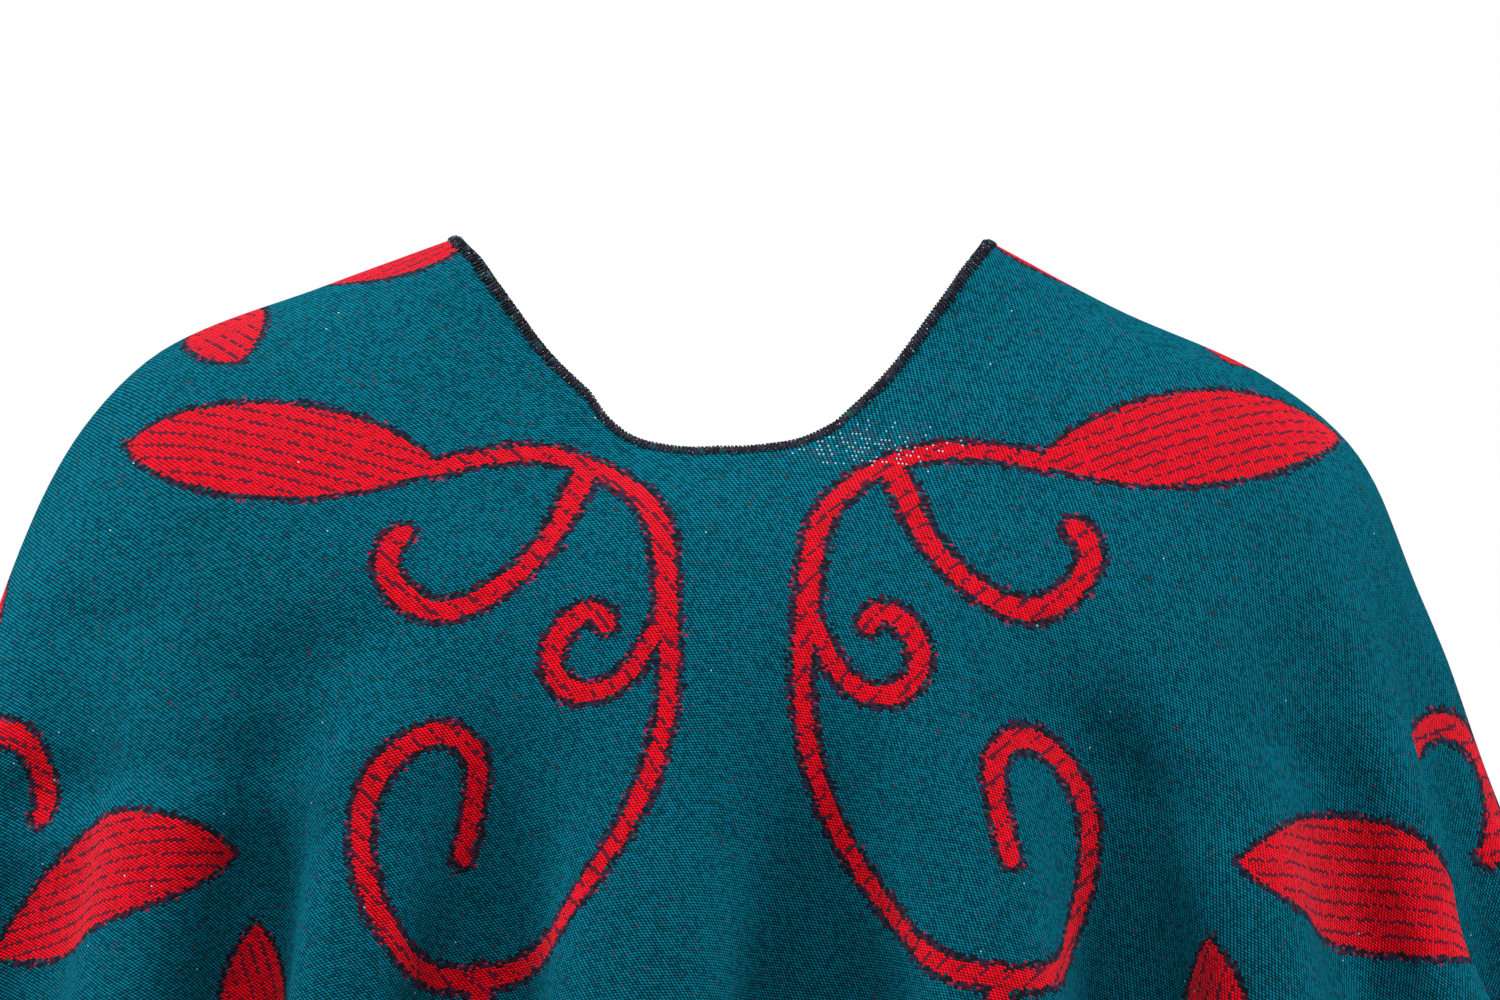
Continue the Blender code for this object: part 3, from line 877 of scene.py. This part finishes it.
# %% [markdown]
# ## The bound edges
# The neck is cut, and the hem too, so both edges would fray. A machine binds them with thread: one
# thread crosses the face from the needle line to the edge, and goes round it to the other side. The
# band under the threads is the cloth squeezed by them, and each stitch is a real thin tube on top.

# %% Bands along both edges
VISIBLE_BAND = 0.0034
BAND_THICKNESS = 0.0030
BAND_POINTS = 14
BAND_ROUNDING = 0.55
BAND_COLUMNS_PER_FOLD = 32
EDGE_SPAN = 0.04


def band_points(column, from_hem):
    """A flattened oval round the cloth's edge: along = (1 - cos t) / 2 and out = sin t / 2, both raised
    to the same power, so that it has flat sides and round corners."""
    turn = np.linspace(0.0, 2 * math.pi, BAND_POINTS, endpoint=False)
    cosine = np.sign(np.cos(turn)) * np.abs(np.cos(turn)) ** BAND_ROUNDING
    sine = np.sign(np.sin(turn)) * np.abs(np.sin(turn)) ** BAND_ROUNDING
    deep = VISIBLE_BAND * (1 - cosine) / 2
    reach = reach_at_length(column, deep, from_hem, EDGE_SPAN)
    grid = np.broadcast_to(column, reach.shape)
    outward = surface_frame(grid, reach)[2]
    out = BAND_THICKNESS / 2 * sine * (-1 if from_hem else 1)
    return cloth_point(grid, reach) + outward * out[:, None, None]


# %% Round threads
# A direction that no thread runs along, to turn the first corner of each polygon away from
NO_THREAD_RUNS = (0.31, 0.17, 0.93)


def thread_tubes(name, paths, radius, sides, material):
    """paths (threads, points, 3). Round each point stands a small polygon, turned to the path's own
    direction: point + radius * (cos t * side + sin t * up), and each tube's two ends are closed."""
    threads, length = paths.shape[:2]
    ahead = np.gradient(paths, axis=1)
    ahead /= np.linalg.norm(ahead, axis=-1, keepdims=True)
    upright = np.broadcast_to(np.array(NO_THREAD_RUNS), ahead.shape)
    side = np.cross(ahead, upright)
    side /= np.linalg.norm(side, axis=-1, keepdims=True)
    up = np.cross(side, ahead)
    turn = 2 * math.pi * np.arange(sides) / sides
    spread = np.cos(turn)[:, None] * side[:, :, None] + np.sin(turn)[:, None] * up[:, :, None]
    points = paths[:, :, None] + radius * spread
    thread, step, place = np.meshgrid(
        np.arange(threads), np.arange(length - 1), np.arange(sides), indexing="ij"
    )
    here = (thread * length + step) * sides + place
    beside = (thread * length + step) * sides + (place + 1) % sides
    walls = np.stack([here, beside, beside + sides, here + sides], axis=-1).reshape(-1, 4)
    first = (np.arange(threads) * length * sides)[:, None] + np.arange(sides)
    caps = np.concatenate([first[:, ::-1], first + (length - 1) * sides])
    piece = mesh_piece(name, points.reshape(-1, 3), walls.tolist() + caps.tolist(), [material])
    print(name, "has", threads, "threads of", round(radius * 2000, 2), "mm")
    return piece


def stitch_paths(row):
    """Each stitch's points lie in the band's own frame: the way along the edge in pitches, the depth
    below the edge and the height off the cloth's middle in millimetres. A depth under 0 reaches past
    the edge. Each stitch is a little loose, by a seeded normal draw."""
    edge = 1.0 if row.from_hem else 0.0
    even = np.linspace(0.0, FOLD_COUNT, EDGE_SAMPLES)
    line = cloth_point(even, edge)
    lengths = np.concatenate(([0.0], np.cumsum(np.linalg.norm(np.diff(line, axis=0), axis=1))))
    count = round(lengths[-1] * 1000 / row.pitch)
    share, deep, out = (np.array(column, float) for column in zip(*row.stitch))
    loose = np.random.default_rng(row.seed).normal(0.0, 1.0, (count, 3))
    pitches = np.arange(count)[:, None] + share + loose[:, :1] * LOOSE_PITCH
    column = np.interp(pitches * lengths[-1] / count % lengths[-1], lengths, even)
    deep = deep * (1 + loose[:, 1:2] * LOOSE_SIZE)
    out = out * (1 + np.abs(loose[:, 2:3]) * LOOSE_SIZE)
    inside = np.full(column.shape, abs(edge - EDGE_SPAN))
    run = cloth_point(column, inside) - cloth_point(column, edge)
    metres_per_reach = np.linalg.norm(run, axis=-1) / EDGE_SPAN
    below = np.clip(deep, 0.0, None) / 1000 / metres_per_reach
    past = np.clip(-deep, 0.0, None)[..., None] / 1000
    reach = edge - below if row.from_hem else below
    _, down, outward = surface_frame(column, reach)
    onward = down if row.from_hem else -down
    return cloth_point(column, reach) + outward * out[..., None] / 1000 + onward * past


# %% Table of stitches
EDGE_SAMPLES = 2241
LOOSE_PITCH, LOOSE_SIZE = 0.12, 0.06
# One thread of a stitch: up the face from the needle line, round the edge and down the reverse
FACE_THREAD = (
    (0.00, 3.9, 1.15), (0.10, 3.4, 1.62), (0.25, 2.2, 1.75), (0.38, 0.8, 1.65), (0.44, -0.1, 1.00),
    (0.50, -0.5, 0.10), (0.56, -0.1, -1.00), (0.70, 1.2, -1.70), (0.90, 3.3, -1.62), (1.00, 3.9, -1.15),
)
# The thread that locks it along the edge, from one stitch to the next
EDGE_THREAD = (
    (0.00, -0.35, 0.95), (0.20, -0.75, 0.55), (0.45, -0.85, 0.00), (0.70, -0.70, -0.50), (0.90, -0.30, 0.10),
    (1.10, -0.35, 0.95),
)
Row = namedtuple("Row", "name stitch from_hem pitch radius sides seed")
STITCH_ROWS = (
    Row("neck_stitches", FACE_THREAD, False, 1.35, 0.30, 5, 11),
    Row("neck_edge_thread", EDGE_THREAD, False, 1.35, 0.26, 5, 12),
    Row("hem_stitches", FACE_THREAD, True, 2.10, 0.40, 4, 13),
    Row("hem_edge_thread", EDGE_THREAD, True, 2.10, 0.34, 4, 14),
)


# %% [markdown]
# The thread is dark, but it isn't one black: it was wound from several ends, so green, violet and pale
# specks turn up along it.

# %% The thread's finish
def thread_finish(name, dark, light, speck):
    """Dark thread with lighter stretches and a few pale specks, all from the Object coordinates."""
    finish = Finish(name)
    place = finish.node("ShaderNodeTexCoord").outputs["Object"]
    wave = finish.amount("ShaderNodeTexNoise", None, {"Vector": place, "Scale": 420.0, "Detail": 2.0})
    fine = finish.amount("ShaderNodeTexNoise", None, {"Vector": place, "Scale": 1500.0, "Detail": 1.0})
    hue = finish.amount("ShaderNodeTexNoise", None, {"Vector": place, "Scale": 240.0, "Detail": 1.0})
    colour = finish.mixed(wave.eased(0.42, 0.62), dark, light)
    colour = finish.mixed(hue.eased(0.60, 0.66) * 0.8, colour, THREAD_GREEN)
    colour = finish.mixed(fine.eased(0.66, 0.72), colour, speck)
    relief = finish.node("ShaderNodeBump", None, {"Height": fine, "Strength": 0.4, "Distance": 0.0002})
    finish.feed(finish.shader, {
        "Base Color": colour,
        "Normal": relief.outputs[0],
        "Roughness": 0.80,
        "Specular IOR Level": 0.10,
    })
    return finish.material


band_finish = thread_finish("bound_edge", THREAD_BLACK, THREAD_NAVY, (0.05, 0.06, 0.07, 1))
stitch_finish = thread_finish(
    "overlock_thread", (0.004, 0.005, 0.008, 1), (0.014, 0.016, 0.026, 1), (0.30, 0.30, 0.34, 1)
)

# %% Make both bands
band_columns = np.arange(FOLD_COUNT * BAND_COLUMNS_PER_FOLD) / BAND_COLUMNS_PER_FOLD
for name, node, from_hem in (("neck_band", "neck_edging", False), ("hem_band", "hem_edging", True)):
    points = band_points(band_columns, from_hem)
    band = closed_surface(name, points[::-1] if from_hem else points, [band_finish])
    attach(band, "root")
    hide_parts(node)

# %% Make all stitches
for row in STITCH_ROWS:
    threads = thread_tubes(row.name, stitch_paths(row), row.radius / 1000, row.sides, stitch_finish)
    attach(threads, "root")

# %% [markdown]
# ## Stand and light
# The garment hangs in the air, as it does on the photographer's stand that was taken out of the
# picture. The floor lies well below the hem. Two soft lights hang high over the shoulders, so each ridge,
# which slopes, is brighter than the valleys, which are steep. Two smaller ones light the sides, and a
# white surround fills the shadows a little.

# %% Floor, surround and lights
FLOOR_BELOW_HEM = 0.70
FLOOR_SIZE = 6.0
FILL_LIGHT = 0.08


def floor_finish():
    """A pale floor whose grey changes a little in soft patches."""
    finish = Finish("studio_floor")
    place = finish.node("ShaderNodeTexCoord").outputs["Object"]
    patch = finish.amount("ShaderNodeTexNoise", None, {"Vector": place, "Scale": 1.5})
    grey = patch * 0.06 + 0.78
    finish.feed(finish.shader, {"Base Color": finish.point(grey, grey, grey), "Roughness": 0.7})
    return finish.material


floor_level = cad_box[0][2] - FLOOR_BELOW_HEM
corner = FLOOR_SIZE / 2
floor_corners = [(x * corner, y * corner, floor_level) for x, y in ((-1, -1), (1, -1), (1, 1), (-1, 1))]
floor = mesh_piece("floor", floor_corners, [(0, 1, 2, 3)], [floor_finish()])
floor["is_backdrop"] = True

surround = bpy.data.worlds.new("surround")
surround.use_nodes = True
world_nodes, world_links = surround.node_tree.nodes, surround.node_tree.links
fill = world_nodes["Background"]
fill.inputs["Strength"].default_value = FILL_LIGHT
seen = world_nodes.new("ShaderNodeBackground")
seen.inputs["Strength"].default_value = 1.0
for background in (fill, seen):
    background.inputs["Color"].default_value = (1, 1, 1, 1)
either = world_nodes.new("ShaderNodeMixShader")
world_links.new(world_nodes.new("ShaderNodeLightPath").outputs["Is Camera Ray"], either.inputs[0])
world_links.new(fill.outputs[0], either.inputs[1])
world_links.new(seen.outputs[0], either.inputs[2])
world_links.new(either.outputs[0], world_nodes["World Output"].inputs["Surface"])
bpy.context.scene.world = surround
bpy.context.scene.view_settings.view_transform = "Standard"

Lamp = namedtuple("Lamp", "name place size power")
LAMPS = (
    Lamp("light above the left shoulder", (-1.0, -1.2, 3.3), 0.9, 138.0),
    Lamp("light above the right shoulder", (1.1, -1.1, 3.2), 0.9, 108.0),
    Lamp("light beside the left shoulder", (-2.3, -0.3, 0.9), 0.7, 80.0),
    Lamp("light beside the right shoulder", (2.3, -0.4, 0.9), 0.7, 56.0),
)
for lamp in LAMPS:
    data = bpy.data.lights.new(lamp.name, "AREA")
    data.shape, data.size, data.energy = "DISK", lamp.size, lamp.power
    light = bpy.data.objects.new(lamp.name, data)
    light.location = lamp.place
    towards = mathutils.Vector((0.0, 0.0, -0.15)) - light.location
    light.rotation_euler = towards.to_track_quat("-Z", "Y").to_euler()
    bpy.context.scene.collection.objects.link(light)

# %% [markdown]
# ## Facts about the cloth, and the end
# The cut is taken as 1.43 by 1.32 metres, from hem to hem across the shoulders and from the front hem
# to the back hem, less the neck hole. The cloth here measures about 2 cm less each way.

visual_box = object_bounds()
low, high = [[round(c, 3) for c in end] for end in visual_box]
print("the dressed model reaches from", low, "to", high)
